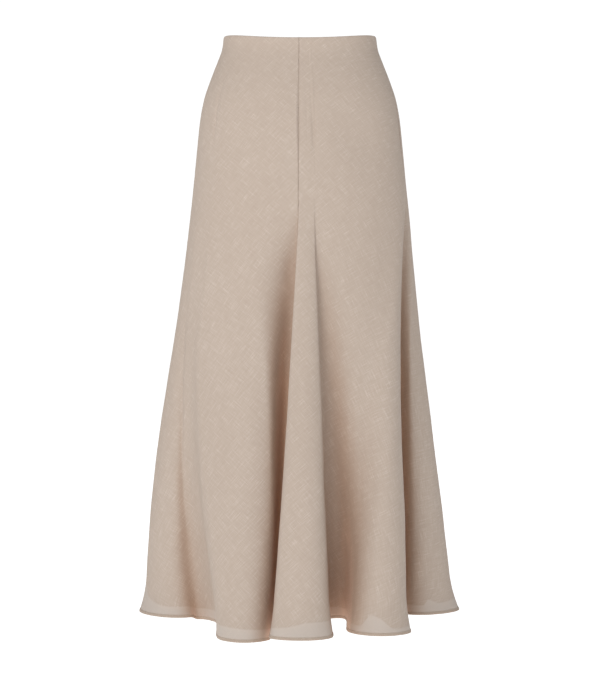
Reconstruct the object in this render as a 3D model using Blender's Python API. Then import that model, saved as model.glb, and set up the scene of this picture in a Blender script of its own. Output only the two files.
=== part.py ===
"""A worn midi skirt, cut on the bias with a centre front seam and a flared, fluted hem.

The origin is the centre of the waist opening. +Z is up, the front faces -Y and +X is on the
right of somebody who looks at the front. The cloth is a loft from the waist down to the hem:
close to a hip above, and straight folds that open like cones below.
"""

import math
from collections import namedtuple

import bmesh
import bpy
import numpy as np

GARMENT = "midi_skirt"

# Driving sizes, in metres.
LENGTH = 0.900  # waist to hem, measured straight down at the side
SHELL_WALL = 0.0012
SEAM_GAP = 0.0003
LINING_SEAM_GAP = 0.0009
LINING_WALL = 0.0010
LINING_NEAR = 0.0004  # free space between the shell and the lining at the waist
LINING_FREE = 0.0040  # and at the hem
WAIST_DIP_FRONT = 0.0128  # the waist edge lies this much lower there than at the sides
WAIST_DIP_BACK = 0.009
WAIST_DIP_FADES = 0.15
CURL_HEIGHT = 0.060  # the hem flips outwards over this height
SECTION_POWER = 2.25  # 2 is an ellipse, and more is squarer

# The garment without its folds, at some depths below the waist, in millimetres.
Section = namedtuple("Section", "depth half_width front back")
SECTIONS = (
    Section(0, 121.0, 86, 92),
    Section(20, 123.8, 87, 94),
    Section(37, 129.8, 90, 99),
    Section(68, 141.8, 97, 110),
    Section(100, 152.4, 103, 121),
    Section(132, 158.4, 107, 130),
    Section(180, 163.4, 111, 137),
    Section(228, 168.0, 114, 139),
    Section(291, 174.8, 117, 141),
    Section(420, 190.5, 124, 145),
    Section(578, 210.9, 133, 149),
    Section(737, 230.8, 142, 152),
    Section(900, 244.0, 150, 155),
)

# The crests of the flutes, going round from the centre front by the right side and the back.
# A crest is the outermost point of a flute at the hem, and it looks towards "faces". "at" is
# where on the hip it starts, "spread" is how far to each side it reaches there, and "reach" is
# how far below the waist it ends. "starts", "bow" and "eases" have a value for each of its two
# shoulders: how deep that one starts, how far it is pushed sideways at half its height, and
# over which share of its length it eases out of the hip.
# Angles are in degrees from the centre front, the rest in millimetres.
Flute = namedtuple("Flute", "name at spread starts x y width faces reach curl bow eases")
FLUTES = (
    Flute("centre_front", 2.6, 2.6, (232, 232), 1, -222, 42, 0, 922, 5, (0, 0), (0.14, 0.2)),
    Flute("right_front", 53, 23, (400, 210), 127, -201, 36, 6, 919, 5, (0, -10), (0.55, 0.14)),
    Flute("right_side", 96, 8, (255, 285), 240, -42, 50, 66, 905, 9, (0, -4), (0.25, 0.3)),
    Flute("right_back", 141, 8, (330, 250), 138, 190, 42, 148, 905, 6, (0, 0), (0.3, 0.3)),
    Flute("centre_back", 179, 6, (215, 240), 8, 228, 43, 182, 906, 5, (0, 0), (0.25, 0.25)),
    Flute("left_back", 221, 9, (270, 330), -122, 198, 38, 202, 906, 6, (3, 0), (0.3, 0.3)),
    Flute("left_side", 281, 10, (285, 285), -238, -26, 60, 300, 912, 9, (-5, -5), (0.35, 0.45)),
    Flute("middle_left", 322, 13, (306, 246), -86, -192, 31, 354, 930, 5, (0, 3), (0.5, 0.3)),
)
# The valley after each flute is the innermost point between it and the next one. "sink"
# pushes it inwards at half its height.
Valley = namedtuple("Valley", "after at starts x y width reach sink eases")
VALLEYS = (
    Valley("centre_front", 9, 245, 66, -98, 12, 908, 6, 0.2),
    Valley("right_front", 80, 205, 161, -50, 8, 908, 12, 0.14),
    Valley("right_side", 116, 300, 190, 88, 18, 906, 0, 0.3),
    Valley("right_back", 163, 230, 72, 126, 13, 909, 0, 0.3),
    Valley("centre_back", 195, 235, -60, 130, 12, 910, 0, 0.25),
    Valley("left_back", 246, 300, -184, 104, 18, 913, 0, 0.3),
    Valley("left_side", 300, 330, -145, -58, 14, 918, 0, 0.5),
    Valley("middle_left", 358.2, 232, -27, -98, 6, 915, 28, 0.14),
)
SHOULDER_BACK = 0.60  # a crest's shoulders lie this share of its width behind it

SEAMS = {"centre_front": 0.5, "right_side": 100.0, "centre_back": 180.0, "left_side": 270.0}

# The rows of the cloth, in millimetres below the waist edge. The last one is the hem.
SHELL_ROWS = (0, 3, 20, 40, 68, 100, 140, 190, 235, 285, 340, 405, 480, 560, 645, 735, 840, 900)
LINING_ROWS = (3, 20, 40, 68, 100, 140, 190, 235, 285, 340, 405, 480, 560, 645, 735, 840, 882)

# A column of the cloth is set wherever the hem has run this far or turned this much.
COLUMN_RUN = 0.070
COLUMN_TURN = 40.0

# The concealed zip at the top of the centre back seam: a slider and its pull tab.
ZIP_DEPTH = 0.012  # from the waist edge down to the pin that the tab swings on
PLATE = (0.0052, 0.0012, 0.0100)  # the slider's plate: wide, thick, tall
PLATE_GAP = 0.0003
PIN_RADIUS = 0.00045
PIN_OUT = 0.0014  # from the plate's outer face to the pin's middle
LUG = (0.0009, 0.0010)  # a lug's width, and how far it runs round the pin
LUG_AT = 0.00215  # from the middle to a lug's middle
BARREL_RADIUS = 0.00105
BARREL_BORE = 0.00070
TAB_LENGTH = 0.020
TAB_THICK = 0.0009
# The tab's half width at some shares of its length.
TAB_OUTLINE = ((0.0, 0.00145), (0.25, 0.00145), (0.5, 0.0021), (0.75, 0.0028), (0.9, 0.0026), (1.0, 0.0012))


def mm(value):
    return value / 1000.0


def smooth_table(xs, ys):
    """A function that runs through a table without overshooting it."""
    xs, ys = np.array(xs, float), np.array(ys, float)
    steps = np.diff(ys) / np.diff(xs)
    slopes = np.empty_like(ys)
    slopes[0], slopes[-1] = steps[0], steps[-1]
    for i in range(1, len(xs) - 1):
        before, after = steps[i - 1], steps[i]
        slopes[i] = 0.0 if before * after <= 0 else 2 * before * after / (before + after)

    def value(x):
        x = np.clip(x, xs[0], xs[-1])
        i = np.clip(np.searchsorted(xs, x, side="right") - 1, 0, len(xs) - 2)
        h = xs[i + 1] - xs[i]
        t = (x - xs[i]) / h
        return (
            ys[i] * (1 + 2 * t) * (1 - t) ** 2
            + h * slopes[i] * t * (1 - t) ** 2
            + ys[i + 1] * t * t * (3 - 2 * t)
            + h * slopes[i + 1] * t * t * (t - 1)
        )

    return value


HALF_WIDTH = smooth_table([mm(s.depth) for s in SECTIONS], [mm(s.half_width) for s in SECTIONS])
FRONT = smooth_table([mm(s.depth) for s in SECTIONS], [mm(s.front) for s in SECTIONS])
BACK = smooth_table([mm(s.depth) for s in SECTIONS], [mm(s.back) for s in SECTIONS])


def hem_knots():
    """A row for each point that the crests and the valleys give to the hem.

    Its columns are x, y, hip angle, start, reach, curl, bow, sink and eases.
    """
    knots = []
    for flute, valley, following in zip(FLUTES, VALLEYS, FLUTES[1:] + FLUTES[:1]):
        turn = math.radians(flute.faces)
        out = np.array([math.sin(turn), -math.cos(turn)])
        along = np.array([math.cos(turn), math.sin(turn)])
        crest = np.array([mm(flute.x), mm(flute.y)])
        width, reach, curl = mm(flute.width), mm(flute.reach), mm(flute.curl)
        for side in (-1, 0, 1):
            place = crest + side * width * along - abs(side) * SHOULDER_BACK * width * out
            angle = flute.at + side * flute.spread
            pairs = (flute.starts, flute.bow, flute.eases)
            starts, bow, eases = (np.interp(side, (-1, 1), pair) for pair in pairs)
            knots.append((*place, angle, mm(starts), reach, curl, mm(bow), 0.0, eases))
        following_at = following.at + (360 if following.at < flute.at else 0)
        room = min(valley.at - flute.at - flute.spread, following_at - following.spread - valley.at)
        across = np.array([mm(following.x), mm(following.y)]) - crest
        across /= np.linalg.norm(across)
        bottom = np.array([mm(valley.x), mm(valley.y)])
        for side in (-1, 1):
            place = bottom + side * mm(valley.width) * across
            angle = valley.at + side * 0.4 * room
            starts, reach, sink = mm(valley.starts), mm(valley.reach), mm(valley.sink)
            knots.append((*place, angle, starts, reach, 0.0, 0.0, sink, valley.eases))
    return np.array(knots)


def closed_spline(knots):
    """A smooth closed curve through the x and y of the knots; the other columns never overshoot."""
    gaps = np.linalg.norm(np.roll(knots[:, :2], -1, axis=0) - knots[:, :2], axis=1)
    ends = np.concatenate([[0.0], np.cumsum(gaps)])
    total = ends[-1]
    count = len(knots)
    places = knots[:, :2]
    chords = (np.roll(places, -1, axis=0) - places) / gaps[:, None]
    matrix = np.zeros((count, count))
    right = np.zeros_like(places)
    for i in range(count):
        before, after = gaps[i - 1], gaps[i]
        matrix[i, i - 1] += after
        matrix[i, i] += 2 * (before + after)
        matrix[i, (i + 1) % count] += before
        right[i] = 3 * (after * chords[i - 1] + before * chords[i])
    slopes = np.linalg.solve(matrix, right)
    around = np.concatenate([ends[-4:-1] - total, ends[:-1], ends[:4] + total])
    tables = []
    for column in range(2, knots.shape[1]):
        turn = 360.0 if column == 2 else 0.0
        values = knots[:, column]
        tables.append(smooth_table(around, np.concatenate([values[-3:] - turn, values, values[:4] + turn])))

    def value(u):
        """The row at u, from 0 to 1 round the hem."""
        whole = np.floor(u)
        s = (u - whole) * total
        i = np.clip(np.searchsorted(ends, s, side="right") - 1, 0, count - 1)
        j = (i + 1) % count
        h = gaps[i][..., None]
        t = ((s - ends[i]) / gaps[i])[..., None]
        place = (
            places[i] * (1 + 2 * t) * (1 - t) ** 2
            + h * slopes[i] * t * (1 - t) ** 2
            + places[j] * t * t * (3 - 2 * t)
            + h * slopes[j] * t * t * (t - 1)
        )
        others = [table(s) for table in tables]
        others[0] = others[0] + 360.0 * whole
        return np.concatenate([place, np.stack(others, axis=-1)], axis=-1)

    return value


HEM = closed_spline(hem_knots())


def ease(share, ramp):
    """0 before a fold starts, then a soft start, then a straight run to 1 at the hem."""
    share = np.clip(share, 0.0, 1.0)
    early = share**3 / ramp**2 - share**4 / (2 * ramp**3)
    late = share - ramp / 2
    return np.where(share < ramp, early, late) / (1 - ramp / 2)


def ring(angle, depth):
    """The garment without its folds, at an angle from the centre front, in degrees."""
    turn = np.radians(angle)
    power = 2 / SECTION_POWER
    sine, cosine = np.sin(turn), np.cos(turn)
    x = HALF_WIDTH(depth) * np.sign(sine) * np.abs(sine) ** power
    reach = np.where(cosine > 0, FRONT(depth), BACK(depth))
    return x, -reach * np.sign(cosine) * np.abs(cosine) ** power


def cloth(u, depth):
    """A point of the cloth's outer face: u runs round from 0 to 1, depth from 0 to LENGTH."""
    x, y, angle, start, reach, curl, bow, sink, eases = np.moveaxis(HEM(u), -1, 0)
    grown = ease((depth - start) / (LENGTH - start), eases)
    ring_x, ring_y = ring(angle, depth)
    last_x, last_y = ring(angle, LENGTH)
    halfway = 4 * grown * (1 - grown)
    place_x = ring_x + (x - last_x) * grown + bow * halfway
    place_y = ring_y + (y - last_y) * grown + sink * halfway
    step = 1e-4
    ahead, behind = HEM(u + step), HEM(u - step)
    along_x, along_y = ahead[..., 0] - behind[..., 0], ahead[..., 1] - behind[..., 1]
    size = np.hypot(along_x, along_y)
    flip = curl * np.clip((depth - LENGTH + CURL_HEIGHT) / CURL_HEIGHT, 0, 1) ** 2
    place_x = place_x + flip * along_y / size
    place_y = place_y - flip * along_x / size
    cosine = np.cos(np.radians(angle))
    dip = np.where(cosine > 0, WAIST_DIP_FRONT, WAIST_DIP_BACK) * cosine**2
    dip = dip * np.clip(1 - depth / WAIST_DIP_FADES, 0, 1)
    z = -(depth + dip + (reach - LENGTH) * grown)
    return np.stack([place_x, place_y, z], axis=-1)


def outward(u, depth):
    """The cloth's outward direction there."""
    step_u, step_d = 2e-4, 5e-4
    round_it = cloth(u + step_u, depth) - cloth(u - step_u, depth)
    low = np.minimum(depth + step_d, LENGTH)
    down = cloth(u, low) - cloth(u, low - 2 * step_d)
    found = np.cross(down, round_it)
    return found / np.linalg.norm(found, axis=-1, keepdims=True)


def share_at(angle):
    """Where round the hem the cloth comes from this hip angle."""
    low, high = -0.2, 1.2
    for _ in range(60):
        middle = 0.5 * (low + high)
        found = float(HEM(np.array([middle]))[0, 2])
        low, high = (middle, high) if found < angle else (low, middle)
    return 0.5 * (low + high)


# Making the pieces


def columns(first, last):
    """Places round the hem from first to last, closer together where the hem turns."""
    u = np.linspace(first, last, 3001)
    edge = cloth(u, np.full(u.shape, LENGTH))[:, :2]
    run = np.diff(edge, axis=0)
    length = np.linalg.norm(run, axis=1)
    heading = np.unwrap(np.arctan2(run[:, 1], run[:, 0]))
    turned = np.degrees(np.abs(np.gradient(heading)))
    counted = np.concatenate([[0.0], np.cumsum(length / COLUMN_RUN + turned / COLUMN_TURN)])
    count = max(4, int(round(counted[-1])))
    return np.interp(np.linspace(0, counted[-1], count + 1), counted, u)


def material(name, colour, roughness, metallic=0.0):
    made = bpy.data.materials.new(name)
    made.use_nodes = True
    shader = made.node_tree.nodes["Principled BSDF"]
    shader.inputs["Base Color"].default_value = (*colour, 1.0)
    shader.inputs["Roughness"].default_value = roughness
    shader.inputs["Metallic"].default_value = metallic
    return made


def keep(mesh, name, made_of, smooth=True):
    """Put a mesh in the garment's collection under its own name."""
    thing = bpy.data.objects.new(name, mesh)
    mesh.name = name
    mesh.materials.append(made_of)
    for face in mesh.polygons:
        face.use_smooth = smooth
    bpy.data.collections[GARMENT].objects.link(thing)
    return thing


def side_margin(u, depth, gap):
    """How much of u makes half a seam gap here."""
    step = 1e-4
    run = np.linalg.norm(cloth(u + step, depth) - cloth(u - step, depth), axis=-1) / (2 * step)
    return 0.5 * gap / run


def panel(name, places, rows, made_of, wall, gap, inset=None):
    """A panel of cloth: a flat thin sheet, whose vertices then go to their places on the garment."""
    across, down = len(places) - 1, len(rows) - 1
    bm = bmesh.new()
    bmesh.ops.create_grid(bm, x_segments=across, y_segments=down, size=0.5)
    bmesh.ops.solidify(bm, geom=bm.faces[:], thickness=0.01)
    bmesh.ops.recalc_face_normals(bm, faces=bm.faces)
    vertices = list(bm.verts)
    flat = np.array([tuple(v.co) for v in vertices])
    column = np.rint((flat[:, 0] + 0.5) * across).astype(int)
    row = np.rint((0.5 - flat[:, 1]) * down).astype(int)
    inner = np.abs(flat[:, 2]) > 0.005
    depth = np.array([mm(r) for r in rows])[row]
    u = np.array(places)[column]
    u = u + np.where(column == 0, 1, 0) * side_margin(u, depth, gap)
    u = u - np.where(column == across, 1, 0) * side_margin(u, depth, gap)
    inward = np.where(inner, wall, 0.0)
    if inset is not None:
        inward = inward + inset(depth)
    points = cloth(u, depth) - outward(u, depth) * inward[:, None]
    for vertex, point in zip(vertices, points):
        vertex.co = point
    if bm.calc_volume(signed=True) < 0:
        bmesh.ops.reverse_faces(bm, faces=bm.faces)
    mesh = bpy.data.meshes.new(name)
    bm.to_mesh(mesh)
    bm.free()
    return keep(mesh, name, made_of)


def joined(things):
    """One closed body from closed bodies that run into each other."""
    base, others = things[0], things[1:]
    for other in others:
        union = base.modifiers.new("with " + other.name, "BOOLEAN")
        union.operation = "UNION"
        union.solver = "EXACT"
        union.object = other
    view = bpy.context.view_layer
    view.update()
    whole = bpy.data.meshes.new_from_object(base.evaluated_get(view.depsgraph))
    for thing in things:
        bpy.data.objects.remove(thing)
    return whole


def block(name, size, middle, rounding=0.0):
    bm = bmesh.new()
    bmesh.ops.create_cube(bm, size=1.0)
    for vertex in bm.verts:
        vertex.co = [middle[i] + vertex.co[i] * size[i] for i in range(3)]
    if rounding:
        bmesh.ops.bevel(
            bm, geom=bm.edges, offset=rounding, segments=2, profile=0.5, affect="EDGES", clamp_overlap=True
        )
    mesh = bpy.data.meshes.new(name)
    bm.to_mesh(mesh)
    bm.free()
    return mesh


def rod(name, radius, length, sides):
    """A rod along X with its middle at the origin."""
    bm = bmesh.new()
    bmesh.ops.create_cone(
        bm, cap_ends=True, cap_tris=False, segments=sides, radius1=radius, radius2=radius, depth=length
    )
    for vertex in bm.verts:
        x, y, z = vertex.co
        vertex.co = (z, x, y)
    bmesh.ops.recalc_face_normals(bm, faces=bm.faces)
    mesh = bpy.data.meshes.new(name)
    bm.to_mesh(mesh)
    bm.free()
    return mesh


def slider(place, tilt, metal):
    """The slider's plate lies on the seam, and two lugs on it hold the pin of the pull tab."""
    wide, thick, tall = PLATE
    lug_wide, lug_round = LUG
    back = -(PIN_OUT + thick / 2)
    pieces = [bpy.data.objects.new("plate", block("plate", (wide, thick, tall), (0, back, -0.0012), 0.0004))]
    for side in (-1, 1):
        reach = PIN_OUT + thick / 2 + lug_round
        size = (lug_wide, reach, 2 * lug_round)
        lug = block("lug", size, (side * LUG_AT, -reach / 2 + lug_round - 0.0001, 0), 0.0003)
        pieces.append(bpy.data.objects.new("lug", lug))
    pieces.append(bpy.data.objects.new("pin", rod("pin", PIN_RADIUS, 2 * LUG_AT, 12)))
    for piece in pieces:
        bpy.context.scene.collection.objects.link(piece)
    thing = keep(joined(pieces), "zip_slider", metal, smooth=False)
    thing.location = place
    thing.rotation_euler = (tilt, 0, 0)
    return thing


def pull_tab(place, tilt, metal):
    """The tab's barrel turns on the pin, and its leaf hangs from the barrel."""
    half = TAB_THICK / 2
    leave = math.asin(half / BARREL_RADIUS)
    outline = []
    for i in range(17):
        turn = -math.pi / 2 + leave + i * (2 * math.pi - 2 * leave) / 16
        outline.append((BARREL_RADIUS * math.cos(turn), BARREL_RADIUS * math.sin(turn)))
    shares = [share for share, _ in TAB_OUTLINE[1:]]
    outline += [(-half, -BARREL_RADIUS - share * (TAB_LENGTH - BARREL_RADIUS)) for share in shares]
    outline += [(half, -BARREL_RADIUS - share * (TAB_LENGTH - BARREL_RADIUS)) for share in reversed(shares)]
    turns = np.linspace(0, 2 * math.pi, 17)[:-1]
    bore = [(BARREL_BORE * math.cos(turn), BARREL_BORE * math.sin(turn)) for turn in turns]
    curve = bpy.data.curves.new("tab outline", "CURVE")
    curve.dimensions = "2D"
    curve.fill_mode = "BOTH"
    curve.extrude = 1.0
    for loop in (outline, bore):
        spline = curve.splines.new("POLY")
        spline.points.add(len(loop) - 1)
        for point, (x, y) in zip(spline.points, loop):
            point.co = (x, y, 0, 1)
        spline.use_cyclic_u = True
    drawn = bpy.data.objects.new("tab outline", curve)
    bpy.context.scene.collection.objects.link(drawn)
    view = bpy.context.view_layer
    view.update()
    mesh = bpy.data.meshes.new_from_object(drawn.evaluated_get(view.depsgraph))
    bpy.data.objects.remove(drawn)
    share, width = zip(*TAB_OUTLINE)
    bm = bmesh.new()
    bm.from_mesh(mesh)
    bmesh.ops.remove_doubles(bm, verts=bm.verts, dist=0.00001)
    for vertex in bm.verts:
        out, up, side = vertex.co
        down = max(0.0, (-up - BARREL_RADIUS) / (TAB_LENGTH - BARREL_RADIUS))
        vertex.co = (math.copysign(np.interp(down, share, width), side), out, up)
    bmesh.ops.triangulate(bm, faces=bm.faces)
    bmesh.ops.recalc_face_normals(bm, faces=bm.faces)
    bm.to_mesh(mesh)
    bm.free()
    thing = keep(mesh, "zip_pull", metal, smooth=False)
    thing.location = place
    thing.rotation_euler = (tilt, 0, 0)
    return thing


def main():
    for thing in list(bpy.data.objects):
        bpy.data.objects.remove(thing, do_unlink=True)
    bpy.context.scene.collection.children.link(bpy.data.collections.new(GARMENT))

    shell_cloth = material("linen", (0.56, 0.46, 0.37), 0.85)
    lining_cloth = material("lining", (0.62, 0.54, 0.46), 0.6)
    zip_metal = material("zip_metal", (0.55, 0.47, 0.38), 0.35, 0.9)

    front = share_at(SEAMS["centre_front"])
    right = share_at(SEAMS["right_side"])
    back = share_at(SEAMS["centre_back"])
    left = share_at(SEAMS["left_side"])
    panel("front_panel_right", columns(front, right), SHELL_ROWS, shell_cloth, SHELL_WALL, SEAM_GAP)
    panel("back_panel_right", columns(right, back), SHELL_ROWS, shell_cloth, SHELL_WALL, SEAM_GAP)
    panel("back_panel_left", columns(back, left), SHELL_ROWS, shell_cloth, SHELL_WALL, SEAM_GAP)
    panel("front_panel_left", columns(left, 1 + front), SHELL_ROWS, shell_cloth, SHELL_WALL, SEAM_GAP)

    free = smooth_table([0, 0.1, 0.2, 0.35, LENGTH], [LINING_NEAR, 0.0009, 0.0012, 0.0016, LINING_FREE])

    def inset(depth):
        return SHELL_WALL + free(depth)

    front_lining = np.concatenate([columns(left - 1, front), columns(front, right)[1:]])
    back_lining = np.concatenate([columns(right, back), columns(back, left)[1:]])
    panel("front_lining", front_lining, LINING_ROWS, lining_cloth, LINING_WALL, LINING_SEAM_GAP, inset)
    panel("back_lining", back_lining, LINING_ROWS, lining_cloth, LINING_WALL, LINING_SEAM_GAP, inset)

    seam_point = cloth(np.array(back), np.array(ZIP_DEPTH))
    below = cloth(np.array(back), np.array(ZIP_DEPTH + 0.006))
    above = cloth(np.array(back), np.array(ZIP_DEPTH - 0.006))
    tilt_plate = math.atan2(below[1] - above[1], above[2] - below[2])
    away = PLATE_GAP + PLATE[1] + PIN_OUT
    pin = (0.0, float(seam_point[1]) + away, float(seam_point[2]))
    far = cloth(np.array(back), np.array(ZIP_DEPTH + TAB_LENGTH))
    tilt_tab = math.atan2(far[1] - seam_point[1], seam_point[2] - far[2])
    slider(pin, tilt_plate, zip_metal)
    pull_tab(pin, tilt_tab, zip_metal)
    print("pin at", [round(c, 5) for c in pin], "plate", round(tilt_plate, 4), "tab", round(tilt_tab, 4))


main()
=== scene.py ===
# %% [markdown]
# A worn midi skirt in slubbed linen
#
# The skirt is four bias-cut panels, joined at the centre front, the two sides and the centre
# back, where a concealed zip closes it. It fits the hip and then opens in deep flutes down to
# a narrow rolled hem. A lining hangs inside it. The solids of the model already have this
# form. Here the cloth gets a finer mesh on nearly the same form, with narrower valleys, and
# with its seams, hem, creases and weave. Then comes the light of a plain photo studio.

# %% Load the frame
import math
from collections import namedtuple

import bmesh
import bpy
import numpy as np
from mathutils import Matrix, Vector


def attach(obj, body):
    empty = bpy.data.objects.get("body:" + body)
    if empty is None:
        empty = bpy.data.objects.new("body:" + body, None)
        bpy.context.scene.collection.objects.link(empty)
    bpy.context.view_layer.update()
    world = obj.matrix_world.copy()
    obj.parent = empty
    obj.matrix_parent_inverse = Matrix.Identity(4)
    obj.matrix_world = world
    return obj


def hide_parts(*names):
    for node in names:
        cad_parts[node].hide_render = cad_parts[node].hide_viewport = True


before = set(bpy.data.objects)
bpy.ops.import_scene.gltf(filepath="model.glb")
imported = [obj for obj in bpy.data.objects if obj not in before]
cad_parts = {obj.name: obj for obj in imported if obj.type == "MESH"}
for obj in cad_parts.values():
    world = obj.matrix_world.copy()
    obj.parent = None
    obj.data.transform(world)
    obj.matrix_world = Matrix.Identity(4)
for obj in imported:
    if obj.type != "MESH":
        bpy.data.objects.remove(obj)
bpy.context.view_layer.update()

# %% [markdown]
# The camera stands 2.9 m away, level with the middle of the skirt, and looks straight at its
# front. A level lens keeps the slant of both sides as it is. The wider view is what makes the
# front waist edge, which lies a little lower than the sides, a flat line in the picture.

# %% Set up the camera
PICTURE = (600, 678)
CAMERA_AWAY = 2.9
CAMERA_HEIGHT = -0.4791
FOCAL_PIXELS = 1822.0

camera_data = bpy.data.cameras.new("camera")
camera_data.sensor_width = 36.0
camera_data.lens = FOCAL_PIXELS * 36.0 / PICTURE[1]
camera = bpy.data.objects.new("camera", camera_data)
camera.location = (0, -CAMERA_AWAY, CAMERA_HEIGHT)
camera.rotation_euler = (math.radians(90), 0, 0)
bpy.context.scene.collection.objects.link(camera)
bpy.context.scene.camera = camera
print("lens", round(camera_data.lens, 2), "mm")

# %% [markdown]
# The garment without its folds is a stack of rounded sections, from the waist over the hip
# down to the hem. A table gives each section's half width and its reach to the front and to
# the back. The curve through a table must not overshoot, or the waist would bulge.

# %% Describe the sections below the waist
LENGTH = 0.900
SECTION_POWER = 2.25
Section = namedtuple("Section", "depth half_width front back")
SECTIONS = (
    Section(0, 121.0, 86, 92),
    Section(20, 123.8, 87, 94),
    Section(37, 129.8, 90, 99),
    Section(68, 141.8, 97, 110),
    Section(100, 152.4, 103, 121),
    Section(132, 158.4, 107, 130),
    Section(180, 163.4, 111, 137),
    Section(228, 168.0, 114, 139),
    Section(291, 174.8, 117, 141),
    Section(420, 190.5, 124, 145),
    Section(578, 210.9, 133, 149),
    Section(737, 230.8, 142, 152),
    Section(900, 244.0, 150, 155),
)


def mm(value):
    return value / 1000.0


def smooth_table(xs, ys):
    """A function that runs through a table without overshooting it."""
    xs, ys = np.array(xs, float), np.array(ys, float)
    steps = np.diff(ys) / np.diff(xs)
    slopes = np.empty_like(ys)
    slopes[0], slopes[-1] = steps[0], steps[-1]
    for i in range(1, len(xs) - 1):
        before, after = steps[i - 1], steps[i]
        slopes[i] = 0.0 if before * after <= 0 else 2 * before * after / (before + after)

    def value(x):
        x = np.clip(x, xs[0], xs[-1])
        i = np.clip(np.searchsorted(xs, x, side="right") - 1, 0, len(xs) - 2)
        h = xs[i + 1] - xs[i]
        t = (x - xs[i]) / h
        rise = ys[i] * (1 + 2 * t) * (1 - t) ** 2 + ys[i + 1] * t * t * (3 - 2 * t)
        return rise + h * (1 - t) * t * (slopes[i] * (1 - t) - slopes[i + 1] * t)

    return value


half_width = smooth_table([mm(s.depth) for s in SECTIONS], [mm(s.half_width) for s in SECTIONS])
to_front = smooth_table([mm(s.depth) for s in SECTIONS], [mm(s.front) for s in SECTIONS])
to_back = smooth_table([mm(s.depth) for s in SECTIONS], [mm(s.back) for s in SECTIONS])
print("hip half width", round(float(half_width(0.228)), 4), "m")

# %% [markdown]
# A flute on the real skirt is spare cloth that falls straight down from the hip and opens
# like a cone. So each one is described where it is widest, at the hem: where its crest and
# the valley after it lie, which way it faces, and from which angle of the hip it falls.
# Sizes are in millimetres, and angles in degrees, from the front towards the picture's right.
#
# - at and spread: the hip angles of the crest, and of the shoulders beside it.
# - starts: how deep below the waist a fold begins. eases: how long it takes to open.
# - reach and curl: how low the hem hangs there, and how far it flips out.
# - widths and falls: how far the shoulders stand from the crest, and fall back from it.
# - bow and sink: how far the cloth strays sideways and inwards, halfway down.
#
# A flute's two shoulders are seldom alike, so a pair gives the one before the crest and the
# one after it. A fold that is crisp in the photo has a small value of eases there.

# %% Describe the flutes
Flute = namedtuple("Flute", "name at spread starts x y widths faces reach curl bow eases falls")
FLUTES = (
    Flute("centre_front", 2.6, 2.6, (232, 232), 1, -222, (42, 42),
          0, 922, 5, (0, 0), (0.14, 0.2), (0.6, 0.6)),
    Flute("right_front", 53, 23, (330, 210), 127, -199, (46, 35),
          6, 919, 5, (0, -12), (0.4, 0.14), (0.95, 0.62)),
    Flute("right_side", 96, 8, (255, 285), 237, -45, (65, 40),
          50, 905, 9, (-6, -4), (0.25, 0.3), (0.6, 1.0)),
    Flute("right_back", 141, 8, (330, 250), 138, 190, (42, 42),
          148, 905, 6, (0, 0), (0.3, 0.3), (0.6, 0.6)),
    Flute("centre_back", 179, 6, (215, 240), 8, 228, (43, 43),
          182, 906, 5, (0, 0), (0.25, 0.25), (0.6, 0.6)),
    Flute("left_back", 221, 9, (270, 330), -122, 198, (38, 38),
          202, 906, 6, (3, 0), (0.3, 0.3), (0.6, 0.6)),
    Flute("left_side", 281, 10, (285, 285), -238, -26, (60, 60),
          300, 912, 9, (-5, -5), (0.35, 0.45), (0.6, 0.6)),
    Flute("middle_left", 322, 13, (306, 246), -85, -192, (31, 31),
          354, 930, 5, (0, 23), (0.75, 0.3), (0.6, 0.8)),
)
Valley = namedtuple("Valley", "after at starts x y width reach bow sink eases")
VALLEYS = (
    Valley("centre_front", 7.4, 245, 56, -103, 6, 908, 0, 2, 0.2),
    Valley("right_front", 80, 205, 152, -62, 8, 908, -14, 20, 0.14),
    Valley("right_side", 116, 300, 190, 88, 18, 906, 0, 0, 0.3),
    Valley("right_back", 163, 230, 72, 126, 13, 909, 0, 0, 0.3),
    Valley("centre_back", 195, 235, -60, 130, 12, 910, 0, 0, 0.25),
    Valley("left_back", 246, 300, -184, 104, 18, 913, 0, 0, 0.3),
    Valley("left_side", 300, 330, -145, -62, 20, 918, 0, 0, 0.75),
    Valley("middle_left", 358.3, 232, -22, -142, 6, 915, 0, 34, 0.14),
)
VALLEY_ROOM = 0.4  # the share of the hip between two shoulders that a valley's bottom takes


def hem_knots():
    """A row for each point that the crests and the valleys give to the hem.

    Its columns are x, y, hip angle, start, reach, curl, bow, sink and eases.
    """
    knots = []
    for flute, valley, following in zip(FLUTES, VALLEYS, FLUTES[1:] + FLUTES[:1]):
        turn = math.radians(flute.faces)
        out = np.array([math.sin(turn), -math.cos(turn)])
        along = np.array([math.cos(turn), math.sin(turn)])
        crest = np.array([mm(flute.x), mm(flute.y)])
        reach, curl = mm(flute.reach), mm(flute.curl)
        for side in (-1, 0, 1):
            pairs = (flute.widths, flute.falls, flute.starts, flute.bow, flute.eases)
            width, falls, starts, bow, eases = (np.interp(side, (-1, 1), pair) for pair in pairs)
            place = crest + side * mm(width) * along - abs(side) * falls * mm(width) * out
            angle = flute.at + side * flute.spread
            knots.append((*place, angle, mm(starts), reach, curl, mm(bow), 0.0, eases))
        following_at = following.at + (360 if following.at < flute.at else 0)
        room_before = valley.at - flute.at - flute.spread
        room_after = following_at - following.spread - valley.at
        room = min(room_before, room_after)
        across = np.array([mm(following.x), mm(following.y)]) - crest
        across /= np.linalg.norm(across)
        bottom = np.array([mm(valley.x), mm(valley.y)])
        for side in (-1, 1):
            place = bottom + side * mm(valley.width) * across
            angle = valley.at + side * VALLEY_ROOM * room
            starts, reach = mm(valley.starts), mm(valley.reach)
            bow, sink = mm(valley.bow), mm(valley.sink)
            knots.append((*place, angle, starts, reach, 0.0, bow, sink, valley.eases))
    return np.array(knots)


print(len(FLUTES), "flutes give", len(hem_knots()), "points on the hem")

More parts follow.
